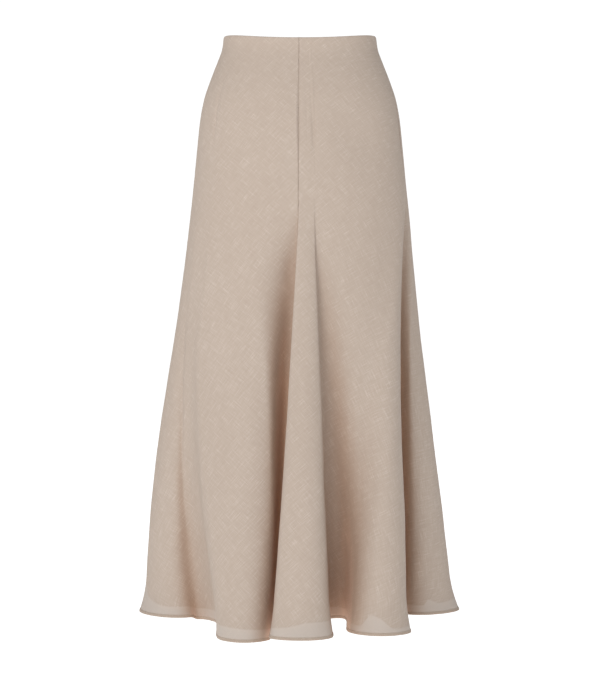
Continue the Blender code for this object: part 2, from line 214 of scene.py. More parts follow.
# %% [markdown]
# The hem is one closed, smooth line through those points. Its places in plan follow a closed
# spline, and what travels with them, such as the hip angle, must only ever grow or stay
# between its neighbours, so it goes through the gentler table.

# %% Run a closed line round the hem


def closed_spline(knots):
    """A function from a share of the way round the hem to a row of values like the knots'."""
    gaps = np.linalg.norm(np.roll(knots[:, :2], -1, axis=0) - knots[:, :2], axis=1)
    ends = np.concatenate([[0.0], np.cumsum(gaps)])
    total, count = ends[-1], len(knots)
    places = knots[:, :2]
    chords = (np.roll(places, -1, axis=0) - places) / gaps[:, None]
    matrix = np.zeros((count, count))
    right = np.zeros_like(places)
    for i in range(count):
        before, after = gaps[i - 1], gaps[i]
        matrix[i, i - 1] += after
        matrix[i, i] += 2 * (before + after)
        matrix[i, (i + 1) % count] += before
        right[i] = 3 * (after * chords[i - 1] + before * chords[i])
    slopes = np.linalg.solve(matrix, right)
    around = np.concatenate([ends[-4:-1] - total, ends[:-1], ends[:4] + total])
    tables = []
    for column in range(2, knots.shape[1]):
        turn = 360.0 if column == 2 else 0.0
        values = knots[:, column]
        closed = np.concatenate([values[-3:] - turn, values, values[:4] + turn])
        tables.append(smooth_table(around, closed))

    def value(u):
        whole = np.floor(u)
        s = (u - whole) * total
        i = np.clip(np.searchsorted(ends, s, side="right") - 1, 0, count - 1)
        j = (i + 1) % count
        h = gaps[i][..., None]
        t = ((s - ends[i]) / gaps[i])[..., None]
        place = places[i] * (1 + 2 * t) * (1 - t) ** 2 + places[j] * t * t * (3 - 2 * t)
        place = place + h * (1 - t) * t * (slopes[i] * (1 - t) - slopes[j] * t)
        others = [table(s) for table in tables]
        others[0] = others[0] + 360.0 * whole
        return np.concatenate([place, np.stack(others, axis=-1)], axis=-1)

    return value


hem_line = closed_spline(hem_knots())
hem_points = hem_line(np.linspace(0, 1, 2001))[:, :2]
print("hem girth", round(float(np.linalg.norm(np.diff(hem_points, axis=0), axis=1).sum()), 3), "m")

# %% [markdown]
# Any point of the cloth now has two numbers: how far round the hem it is, from 0 to 1, and
# how deep below the waist. A fold eases out of the hip and then runs straight to the hem.

# %% Find a point of the cloth
CURL_HEIGHT = 0.060
WAIST_DIP_FRONT = 0.0128
WAIST_DIP_BACK = 0.009
WAIST_DIP_FADES = 0.15


def ease(share, ramp):
    """Grows from 0 to 1: softly over the first part, the ramp, and then straight."""
    share = np.clip(share, 0.0, 1.0)
    early = share**3 / ramp**2 - share**4 / (2 * ramp**3)
    return np.where(share < ramp, early, share - ramp / 2) / (1 - ramp / 2)


def section_point(angle, depth):
    """A point of the skirt without its folds."""
    turn = np.radians(angle)
    power = 2 / SECTION_POWER
    sine, cosine = np.sin(turn), np.cos(turn)
    x = half_width(depth) * np.sign(sine) * np.abs(sine) ** power
    reach = np.where(cosine > 0, to_front(depth), to_back(depth))
    return x, -reach * np.sign(cosine) * np.abs(cosine) ** power


def cloth(u, depth):
    """A point of the cloth's outer face."""
    x, y, angle, start, reach, curl, bow, sink, eases = np.moveaxis(hem_line(u), -1, 0)
    grown = ease((depth - start) / (LENGTH - start), eases)
    ring_x, ring_y = section_point(angle, depth)
    last_x, last_y = section_point(angle, LENGTH)
    halfway = 4 * grown * (1 - grown)
    place_x = ring_x + (x - last_x) * grown + bow * halfway
    place_y = ring_y + (y - last_y) * grown + sink * halfway
    ahead, behind = hem_line(u + 1e-4), hem_line(u - 1e-4)
    along_x, along_y = ahead[..., 0] - behind[..., 0], ahead[..., 1] - behind[..., 1]
    size = np.hypot(along_x, along_y)
    flip = curl * np.clip((depth - LENGTH + CURL_HEIGHT) / CURL_HEIGHT, 0, 1) ** 2
    place_x = place_x + flip * along_y / size
    place_y = place_y - flip * along_x / size
    cosine = np.cos(np.radians(angle))
    dip = np.where(cosine > 0, WAIST_DIP_FRONT, WAIST_DIP_BACK) * cosine**2
    dip = dip * np.clip(1 - depth / WAIST_DIP_FADES, 0, 1)
    return np.stack([place_x, place_y, -(depth + dip + (reach - LENGTH) * grown)], axis=-1)


def outward(u, depth):
    """The way the cloth faces there."""
    round_it = cloth(u + 2e-4, depth) - cloth(u - 2e-4, depth)
    low = np.minimum(depth + 5e-4, LENGTH)
    found = np.cross(cloth(u, low) - cloth(u, low - 1e-3), round_it)
    return found / np.linalg.norm(found, axis=-1, keepdims=True)


def run_per_share(u, depth):
    """How many metres of cloth one whole share of the hem would be at this place."""
    return np.linalg.norm(cloth(u + 1e-4, depth) - cloth(u - 1e-4, depth), axis=-1) / 2e-4


print("side of the waist", cloth(np.array(0.25), np.array(0.0)).round(4))

# %% [markdown]
# The four seams fall from fixed angles of the hip. The side seams start just at the sides or
# a little behind. The centre front seam shows down to the start of the centre flute. Below
# that it runs on the flute's left flank, inside the valley, where the camera doesn't see it.

# %% Find the seams


def share_at(angle):
    """How far round the hem the cloth lies that falls from this angle of the hip."""
    low, high = -0.2, 1.2
    for _ in range(60):
        middle = 0.5 * (low + high)
        found = float(hem_line(np.array([middle]))[0, 2])
        low, high = (middle, high) if found < angle else (low, middle)
    return 0.5 * (low + high)


SEAM_ANGLES = (-0.5, 100.0, 180.0, 270.0)
FRONT, RIGHT, BACK, LEFT = (share_at(angle) for angle in SEAM_ANGLES)
print("seams at", [round(s, 4) for s in (FRONT, RIGHT, BACK, LEFT)])

# %% [markdown]
# Linen never hangs quite smooth. The creases are listed one by one: each has a place, a size
# and a lean, and lifts or sinks the cloth by a few tenths of a millimetre up to a few
# millimetres. The photo shows those of the front. The back gets its own of the same kind.

# %% Place the creases
Crease = namedtuple("Crease", "hip_angle depth length width height lean")
CREASES = (
    Crease(-3.1, 401, 9, 7, 3.0, 80),
    Crease(-4.2, 368, 16, 7, -1.4, 0),
    Crease(-45.5, 700, 160, 14, 1.0, 2),
    Crease(-27.3, 632, 20, 3.5, 0.55, 36),
    Crease(-24.0, 703, 18, 3.5, 0.55, 30),
    Crease(-26.6, 759, 18, 3.5, -0.5, 28),
    Crease(-26.0, 851, 16, 4, 0.6, 34),
    Crease(-33, 577, 120, 18, 0.9, 4),
    Crease(-58, 430, 90, 22, -0.8, -8),
    Crease(-66, 637, 110, 16, -1.0, 6),
    Crease(-60, 717, 60, 10, 0.8, -22),
    Crease(12.6, 343, 7, 3, 0.5, 66),
    Crease(12.9, 358, 6, 3, 0.5, 60),
    Crease(13.2, 374, 7, 3, -0.4, 66),
    Crease(1, 537, 90, 9, -0.4, -6),
    Crease(3, 717, 60, 8, 0.5, 12),
    Crease(20, 437, 60, 9, -0.5, -16),
    Crease(25, 577, 90, 12, 0.7, -18),
    Crease(33, 707, 70, 10, -0.7, -24),
    Crease(50, 497, 120, 18, -0.6, 8),
    Crease(92.4, 838, 34, 6, -1.1, -38),
    Crease(92.0, 800, 30, 6, 0.8, -32),
    Crease(24, 150, 70, 34, -2.2, 34),
    Crease(-34, 160, 70, 24, -0.5, -44),
    Crease(97, 600, 90, 12, 0.9, 6),
    Crease(101, 760, 60, 10, -0.9, -14),
    Crease(118, 470, 90, 16, -0.9, 10),
    Crease(137, 620, 100, 14, 0.9, -8),
    Crease(150, 400, 80, 18, -0.8, 16),
    Crease(172, 560, 100, 12, 0.8, 6),
    Crease(188, 690, 80, 10, -0.8, -18),
    Crease(206, 430, 90, 18, -0.8, -12),
    Crease(219, 620, 100, 14, 0.9, 8),
    Crease(236, 520, 90, 16, -0.9, -10),
    Crease(262, 640, 90, 14, 0.9, 10),
    Crease(276, 430, 90, 16, -0.7, -6),
)
SLOW_WAVE = 0.00028
QUICK_WAVE = 0.00008
crease_shares = [share_at(c.hip_angle % 360) for c in CREASES]


def creases(u, depth, run):
    """How far the creases lift the cloth."""
    lifted = np.zeros(np.shape(u))
    for crease, share in zip(CREASES, crease_shares):
        away = ((u - share + 0.5) % 1.0 - 0.5) * run
        down = depth - mm(crease.depth)
        lean = math.radians(crease.lean)
        along = down * math.cos(lean) + away * math.sin(lean)
        across = away * math.cos(lean) - down * math.sin(lean)
        shape = np.exp(-((along / mm(crease.length)) ** 2) - (across / mm(crease.width)) ** 2)
        lifted = lifted + mm(crease.height) * shape
    return lifted


def waves(u, depth, run):
    """The cloth's slight unevenness, which grows towards the hem."""
    turn = 2 * math.pi * u
    slow = np.sin(13 * turn + 9 * depth) + 0.8 * np.sin(21 * turn - 14 * depth + 1.3)
    slow = slow + 0.6 * np.sin(34 * turn + 23 * depth + 2.1) + 0.5 * np.sin(8 * turn + 31 * depth)
    quick = np.sin(55 * turn + 61 * depth + 0.4) + np.sin(47 * turn - 83 * depth + 1.9)
    grown = np.clip(depth / 0.5, 0.15, 1.3) * np.clip(run / 1.2, 0, 1) ** 2
    return (SLOW_WAVE * slow + QUICK_WAVE * quick) * grown


print(len(CREASES), "creases")

# %% [markdown]
# At a seam the two panels dip into a fine groove, and their pressed allowances lift them a
# hair on both sides. The hem is rolled over once and stitched, so its last 4 mm are thicker.
# The faced waist edge is turned over a sharp fold, which rounds its last 2 mm.

# %% Shape the edges
SEAM_GAP = 0.00012
GROOVE = 0.0004
ALLOWANCE = 0.010
HEM_WIDTH = 0.0042
HEM_SWELL = 0.0006
HEM_DENT = 0.00025
HEM_RIPPLE = 0.00016
ALLOWANCE_LIFT = 0.00018
SEAM_PUCKER = 0.00012
WAIST_ROUND = 0.0022
WAIST_TURN = 0.0011


def edge_relief(from_seam, depth, u):
    """How far a seam, the hem and the waist edge lift the cloth."""
    lifted = -GROOVE * np.exp(-((from_seam / 0.0011) ** 2))
    lifted = lifted + ALLOWANCE_LIFT / (1 + np.exp((from_seam - ALLOWANCE) / 0.0011))
    pull = np.exp(-from_seam / 0.008)
    lifted = lifted + SEAM_PUCKER * pull * (np.sin(depth * 390) + np.sin(depth * 271 + 1.0))
    from_hem = LENGTH - depth
    roll = np.clip(from_hem / HEM_WIDTH, 0, 1)
    lifted = lifted + HEM_SWELL * np.sqrt(np.clip(1 - (2 * roll - 1) ** 2, 0, 1)) * (roll < 1)
    lifted = lifted - HEM_DENT * np.exp(-(((from_hem - HEM_WIDTH - 0.0006) / 0.0009) ** 2))
    ripple = np.sin(2 * math.pi * 131 * u) + 0.7 * np.sin(2 * math.pi * 89 * u + 1.0)
    lifted = lifted + HEM_RIPPLE * ripple * np.exp(-from_hem / 0.012)
    turned = np.clip(1 - depth / WAIST_ROUND, 0, 1)
    lifted = lifted - WAIST_TURN * (1 - np.sqrt(1 - turned**2))
    return lifted


print("hem", HEM_WIDTH * 1000, "mm wide")

# %% [markdown]
# The lining is cut a little shorter than the skirt and hangs unevenly. Below its hem the
# linen is a single layer, which looks lighter and greyer: there the linen's colour is painted
# paler, as painted light that comes through it. A table says how far the lining's hem lies
# above the skirt's hem, going round from the centre front.

# %% Hang the lining's hem
LINING_ABOVE = (
    (0.0149, 17), (0.0293, 24), (0.0426, 24), (0.0900, 18), (0.1414, 12),
    (0.1495, 28), (0.1557, 24), (0.1668, 9), (0.2100, 16), (0.2622, 14),
    (0.2655, 22), (0.2724, 16), (0.3300, 30), (0.4200, 22), (0.5300, 26),
    (0.6200, 20), (0.7000, 34), (0.7799, 46), (0.7903, 42), (0.7974, 27),
    (0.8180, 16), (0.8700, 18), (0.9000, 20), (0.9500, 15), (0.9850, 12),
)
above = [(s + turn, mm(h)) for turn in (-1, 0, 1) for s, h in LINING_ABOVE]
above_table = smooth_table([s for s, _ in above], [h for _, h in above])


def lining_depth(u):
    """How deep the lining's hem hangs at this place."""
    return LENGTH - above_table(u)


hem_shares = np.linspace(-0.1, 1.1, 4801)
hem_edge = cloth(hem_shares, np.full(hem_shares.shape, LENGTH))
hem_arc = np.concatenate([[0.0], np.cumsum(np.linalg.norm(np.diff(hem_edge, axis=0), axis=1))])
print("lining hem", [round(float(lining_depth(np.array(s))), 3) for s in (0.0, 0.25, 0.5, 0.75)])

# %% [markdown]
# Deep in a fold the light goes from cloth to cloth before it reaches the eye, and each time
# the linen takes more blue than red out of it. So the valleys look brown where the open cloth
# looks beige. This is painted into the linen's colour as painted shade, by how closed a place
# is. How closed a place is can be measured in plan: at each depth, every place looks out in
# 18 directions and counts those in which no other cloth is in its way. A direction that lies
# flat along the cloth counts less than one straight ahead.

# %% Measure how open the folds are
OPEN_ROWS = 31
OPEN_COLUMNS = 480
LOOKS = np.radians(np.arange(-85, 86, 10))
JUST_ABOVE = 0.0008
OUT_OF_VIEW = 9.0


def open_view(depth):
    """The share of the room that places all round the skirt see at this depth."""
    u = np.arange(OPEN_COLUMNS) / OPEN_COLUMNS
    there = np.full(u.shape, depth)
    places, facing = cloth(u, there)[:, :2], outward(u, there)[:, :2]
    facing /= np.linalg.norm(facing, axis=1, keepdims=True)
    heading = np.arctan2(facing[:, 0], -facing[:, 1])
    around = np.concatenate([places, places[:1]])
    away = around[None] - (places + JUST_ABOVE * facing)[:, None]
    turned = np.arctan2(away[..., 0], -away[..., 1]) - heading[:, None]
    turned = (turned + math.pi) % (2 * math.pi) - math.pi
    low = np.minimum(turned[:, 1:], turned[:, :-1])
    high = np.maximum(turned[:, 1:], turned[:, :-1])
    behind = high - low > math.pi
    low[behind] = high[behind] = OUT_OF_VIEW
    seen = np.zeros(OPEN_COLUMNS)
    for look in LOOKS:
        seen += ~((low <= look) & (high >= look)).any(axis=1) * math.cos(look)
    return seen / np.cos(LOOKS).sum()


open_table = np.array([open_view(depth) for depth in np.linspace(0, LENGTH, OPEN_ROWS)])


def openness(u, depth):
    """The share of the room that a place sees, read from the table."""
    across, down = (u % 1.0) * OPEN_COLUMNS, depth / LENGTH * (OPEN_ROWS - 1)
    i, k = across.astype(int) % OPEN_COLUMNS, np.minimum(down.astype(int), OPEN_ROWS - 2)
    beyond, s, t = (i + 1) % OPEN_COLUMNS, across % 1.0, down - k
    above = open_table[k, i] * (1 - s) + open_table[k, beyond] * s
    below = open_table[k + 1, i] * (1 - s) + open_table[k + 1, beyond] * s
    return above * (1 - t) + below * t


print("the most closed place sees", round(float(open_table.min()), 3), "of the room")

# %% [markdown]
# One function makes every panel. It starts from a flat grid, which Blender's own operator
# makes, and moves its vertices onto the cloth. The grid's rows lie closer at the waist and
# at the hem, and its columns closer at the seams, because that is where the detail is.
#
# Each panel also keeps its flat cut as a UV map in metres. The cut of a flared panel is a
# fan with curved sides, and the map is measured on the cloth row by row. So the weave keeps
# its scale, and turns from the centre seam to the side as on real bias-cut cloth.

# %% Make a panel of cloth
GRID_COLUMN = 0.0042
GRID_ROW = 0.0048
BESIDE_SEAM = np.array([0, 0.6, 1.4, 2.4, 3.6, 5.2, 7.5, 11]) / 1000
AT_WAIST = np.array([0, 0.35, 0.8, 1.4, 2.2, 3.4, 5.0]) / 1000
AT_HEM = np.array([7.5, 6.0, 5.1, 4.6, 4.2, 3.7, 3.0, 2.1, 1.2, 0.5, 0]) / 1000


def fine_columns(first, last, apart=GRID_COLUMN):
    """The places round the hem of a grid's columns, closer at both seams."""
    u = np.linspace(first, last, 4001)
    edge = cloth(u, np.full(u.shape, LENGTH))
    run = np.concatenate([[0.0], np.cumsum(np.linalg.norm(np.diff(edge, axis=0), axis=1))])
    middle = np.linspace(0.015, run[-1] - 0.015, int((run[-1] - 0.030) / apart) + 1)
    columns = np.concatenate([BESIDE_SEAM, middle, (run[-1] - BESIDE_SEAM)[::-1]])
    return np.interp(columns, run, u)


def fine_rows(top=0.0, bottom=LENGTH):
    """The depths of a grid's rows, closer at the waist and at the hem."""
    start, end = top + AT_WAIST[-1] + 0.003, bottom - AT_HEM[0] - 0.003
    middle = np.linspace(start, end, int((end - start) / GRID_ROW) + 1)
    return np.concatenate([top + AT_WAIST, middle, bottom - AT_HEM])


def grown_length(points, axis):
    """Lengths along one direction of a grid of points, from 0 at its first edge."""
    steps = np.linalg.norm(np.diff(points, axis=axis), axis=-1)
    start = np.zeros_like(np.take(steps, [0], axis=axis))
    return np.concatenate([start, np.cumsum(steps, axis=axis)], axis=axis)


def flat_cut(places, rows, straight):
    """The flat cut of a grid of cloth, measured on it: a fan that is as wide at each depth as
    the cloth is. Its straight thread line is 0 for the first edge, up to 1 for the last."""
    u, depth = np.meshgrid(places, rows)
    points = cloth(u, depth)
    across = grown_length(points, 1)
    down = grown_length(points, 0).mean(axis=1, keepdims=True)
    hip = int(np.argmin(np.abs(rows - 0.2)))
    spread = (across[-1, -1] - across[hip, -1]) / float(down[-1, 0] - down[hip, 0])
    out = across[hip, -1] / spread - down[hip] + down
    turn = (across - straight * across[:, -1:]) / out
    cut = np.stack([out * np.sin(turn), -out * np.cos(turn)], axis=-1)
    widths, depths = across[:, -1], down[:, 0]
    area = float(np.sum(0.5 * (widths[1:] + widths[:-1]) * np.diff(depths)))
    return cut - cut.min(axis=(0, 1)), area


def cloth_panel(name, places, rows, lift, hem_depth, straight, offset):
    """A panel between its first and last column, as one sheet with its flat cut as UV map."""
    across, down = len(places) - 1, len(rows) - 1
    bm = bmesh.new()
    bm.loops.layers.uv.new("cut")
    bmesh.ops.create_grid(bm, x_segments=across, y_segments=down, size=0.5)
    mesh = bpy.data.meshes.new(name)
    bm.to_mesh(mesh)
    bm.free()
    flat = np.empty(len(mesh.vertices) * 3)
    mesh.vertices.foreach_get("co", flat)
    flat = flat.reshape(-1, 3)
    column = np.rint((flat[:, 0] + 0.5) * across).astype(int)
    row = np.rint((0.5 - flat[:, 1]) * down).astype(int)
    u, depth = places[column], rows[row]
    if hem_depth:
        depth = depth * hem_depth(u) / rows[-1]
    run = run_per_share(u, depth)
    sides = np.where(column == 0, 1.0, 0.0) - np.where(column == across, 1.0, 0.0)
    u = u + sides * 0.5 * SEAM_GAP / run
    from_seam = np.minimum(u - places[0], places[-1] - u) * run
    points = cloth(u, depth) + outward(u, depth) * lift(u, depth, from_seam, run)[:, None]
    mesh.vertices.foreach_set("co", points.ravel())
    whole_cut, area = flat_cut(places, rows, straight)
    cut = whole_cut[row, column]
    corners = np.empty(len(mesh.loops), int)
    mesh.loops.foreach_get("vertex_index", corners)
    mesh.uv_layers["cut"].data.foreach_set("uv", (cut + np.array(offset))[corners].ravel())
    edges = mesh.attributes.new("edges", "FLOAT_VECTOR", "POINT")
    round_hem = np.interp(u, hem_shares, hem_arc)
    from_edges = np.stack([from_seam, LENGTH - depth, round_hem], axis=-1)
    edges.data.foreach_set("vector", from_edges.ravel())
    bare = mesh.attributes.new("below_lining", "FLOAT", "POINT")
    bare.data.foreach_set("value", (depth - lining_depth(u)).ravel())
    seen = mesh.attributes.new("open", "FLOAT", "POINT")
    seen.data.foreach_set("value", openness(u, depth).ravel())
    mesh.update()
    middle = mesh.polygons[len(mesh.polygons) // 2]
    faces = outward(np.array([u[middle.vertices[0]]]), np.array([depth[middle.vertices[0]]]))[0]
    if Vector(faces).dot(middle.normal) < 0:
        mesh.flip_normals()
    mesh.polygons.foreach_set("use_smooth", np.ones(len(mesh.polygons), bool))
    mesh.update()
    piece = bpy.data.objects.new(name, mesh)
    bpy.context.scene.collection.objects.link(piece)
    size = cut.max(axis=0)
    print(name, across, "x", down, "faces, cut", size.round(3), "m, area", round(area, 4), "m2")
    return piece, tuple(float(s) for s in size), area


def thicken(piece, wall):
    """Gives a sheet its wall, inwards from the outer face."""
    shell = piece.modifiers.new("wall", "SOLIDIFY")
    shell.thickness = wall
    shell.offset = -1
    return piece


# %% [markdown]
# The four outer panels come first. The wall is 0.8 mm, thinner than the solid's, because
# single linen is. Each panel replaces its solid and rides on the skirt's body.

# %% Cut and hang the outer panels
WALL = 0.0008


def outer_lift(u, depth, from_seam, run):
    """How far the linen lies off the form. Its edges stay where they are."""
    still = np.clip((LENGTH - depth) / 0.02, 0, 1) * np.clip(depth / 0.02, 0, 1)
    soft = creases(u, depth, run) + waves(u, depth, run)
    return soft * still + edge_relief(from_seam, depth, u)


outer = {}
PANELS = (
    ("front", "right", FRONT, RIGHT, 0.0, (0.0, 0.0), "front_panel_left"),
    ("back", "right", RIGHT, BACK, 1.0, (1.6, 0.2), "back_panel_left"),
    ("back", "left", BACK, LEFT, 0.0, (2.9, 0.5), "back_panel_right"),
    ("front", "left", LEFT, 1 + FRONT, 1.0, (4.4, 0.1), "front_panel_right"),
)
for face, side, first, last, straight, offset, sewn_to in PANELS:
    name, node = f"{face}_cloth_{side}", f"{face}_panel_{side}"
    piece, size, area = cloth_panel(
        name, fine_columns(first, last), fine_rows(), outer_lift, None, straight, offset
    )
    outer[name] = thicken(piece, WALL)
    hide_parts(node)
    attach(piece, "skirt")

# %% [markdown]
# The lining is a thinner, smoother cloth. It hangs close inside the waist and a little freer
# at the hem, in a front and a back piece with seams at the sides. It is cut with the threads
# running straight down, so it barely stretches.

# %% Hang the lining inside
LINING_WALL = 0.0004
LINING_COLUMN = 0.0056
lining_room = smooth_table([0, 0.1, 0.2, 0.35, LENGTH], [0.0019, 0.0024, 0.0027, 0.0031, 0.0056])


def lining_lift(u, depth, from_seam, run):
    """How far the lining hangs inside the linen, with its own small folds and turned-up hem."""
    soft = np.clip(depth / 0.3, 0, 1) * np.clip((lining_depth(u) - depth) / 0.03, 0.25, 1)
    turn = 2 * math.pi * u
    folds = np.sin(31 * turn + 5 * depth) + 0.7 * np.sin(53 * turn - 9 * depth + 1.0)
    hem = 0.0004 * np.clip(1 - np.abs(lining_depth(u) - depth - 0.006) / 0.006, 0, 1) ** 0.5
    return hem - lining_room(depth) - 0.0006 * soft * (1 + 0.5 * folds)


for name, node, first, last, offset, sewn_to in (
    ("front_lining_cloth", "front_lining", LEFT, 1 + RIGHT, (0.0, 2.0), "front_panel_right"),
    ("back_lining_cloth", "back_lining", RIGHT, LEFT, (2.5, 2.0), "back_panel_left"),
):
    piece, size, area = cloth_panel(
        name,
        fine_columns(first, last, LINING_COLUMN),
        fine_rows(0.003, 0.88),
        lining_lift,
        lining_depth,
        0.5,
        offset,
    )
    thicken(piece, LINING_WALL)
    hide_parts(node)
    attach(piece, "skirt")
print("lining hung")

# %% [markdown]
# Materials are small networks of nodes. One short class lets them be written as sums: it
# wraps a socket, its operators add Math nodes, and its make method adds any other node.

# %% Write shader maths as sums


class Wire:
    """A socket of a material that can be calculated with."""

    def __init__(self, tree, socket=None):
        self.tree = tree
        self.socket = socket

    def make(self, kind, settings=None, inputs=None, output=0):
        """Adds a node and links or sets its inputs. Gives one of its outputs."""
        node = self.tree.nodes.new(kind)
        for name, value in (settings or {}).items():
            setattr(node, name, value)
        for name, value in (inputs or {}).items():
            if isinstance(value, Wire):
                self.tree.links.new(value.socket, node.inputs[name])
            else:
                node.inputs[name].default_value = value
        return Wire(self.tree, node.outputs[output] if len(node.outputs) else None)

    def beside(self, output):
        """Another output of the same node."""
        return Wire(self.tree, self.socket.node.outputs[output])

    def sum(self, operation, first, second=0.0):
        return self.make("ShaderNodeMath", {"operation": operation}, {0: first, 1: second})

    def __add__(self, other):
        return self.sum("ADD", self, other)

    def __radd__(self, other):
        return self.sum("ADD", other, self)

    def __sub__(self, other):
        return self.sum("SUBTRACT", self, other)

    def __rsub__(self, other):
        return self.sum("SUBTRACT", other, self)

    def __mul__(self, other):
        return self.sum("MULTIPLY", self, other)

    def __rmul__(self, other):
        return self.sum("MULTIPLY", other, self)

    def __truediv__(self, other):
        return self.sum("DIVIDE", self, other)

    def sine(self):
        return self.sum("SINE", self)

    def size(self):
        return self.sum("ABSOLUTE", self)

    def share(self, low, high):
        """0 below low, 1 above high and a soft step between."""
        return self.make(
            "ShaderNodeMapRange",
            {"interpolation_type": "SMOOTHSTEP"},
            {"Value": self, "From Min": low, "From Max": high},
        )


def new_material(name):
    material = bpy.data.materials.new(name)
    material.use_nodes = True
    material.node_tree.nodes.clear()
    return material, Wire(material.node_tree)


def blend_colours(wire, share, first, second, mode="MIX"):
    settings = {"data_type": "RGBA", "blend_type": mode}
    return wire.make("ShaderNodeMix", settings, {0: share, 6: first, 7: second}, 2)


def noise_along(wire, along, across, length, width, detail=1.0):
    """A streaky noise: streaks are about this long one way and this wide the other."""
    place = wire.make("ShaderNodeCombineXYZ", None, {0: along / length, 1: across / width})
    return wire.make(
        "ShaderNodeTexNoise",
        {"noise_dimensions": "2D"},
        {"Vector": place, "Scale": 1.0, "Detail": detail, "Roughness": 0.5},
    )


print("shader helpers ready")

# %% [markdown]
# The linen is a plain weave of warp and weft threads, about 0.6 mm apart. Linen yarn is
# uneven, so single threads run thicker and lighter over one to three centimetres. These
# slubs are the fine slanting streaks in the photo. The panels are cut on the bias, so both
# sets of threads run at 45 degrees to the centre seam. The flat cut's UV map carries them.
#
# The cloth is matt, and a little light comes through it. Where a fold is closed, its colour is
# painted browner, as painted shade, by the share of the room that it doesn't see. In the very
# deepest places a clearly lighter tint, painted light, stands in for the light between the two
# sides of the fold. Around the bare hem band, where no lining lies behind, the linen is painted
# paler, as painted light that comes through the single layer. The rolled hem is darker.

# %% Weave the linen
THREAD = 0.0006
BIAS = 0.70711  # the cosine of 45 degrees
SLUB = (0.020, 0.0011)  # a slub's length and width
BROAD_SLUB = (0.034, 0.0026)
PATCH = (0.16, 0.22)
STITCH_ABOVE_HEM = 0.0034
STITCH_LENGTH = 0.0026
LINEN = (0.548, 0.462, 0.396, 1)
LINEN_DARK = (0.455, 0.368, 0.305, 1)
LINEN_PALE = (0.650, 0.572, 0.512, 1)
# painted light: the paler colour of the bare hem band, for light through the single layer
LINEN_PAINTED_BACKLIGHT = (0.625, 0.562, 0.508, 1)
LINEN_THROUGH = (0.62, 0.42, 0.28, 1)
# painted shade: the brown that closed folds are painted with
LINEN_PAINTED_FOLD_SHADE = (0.86, 0.70, 0.60, 1)
# painted light: the lift that the deepest places of a fold are painted with
LINEN_PAINTED_FOLD_LIGHT = (1.45, 1.35, 1.28, 1)
PAINTED_SHADE_SHARE = 0.9
HEM_ROLL = (0.36, 0.27, 0.20, 1)
SEAM_LINE = (0.30, 0.21, 0.15, 1)
STITCH_YARN = (0.75, 0.66, 0.57, 1)


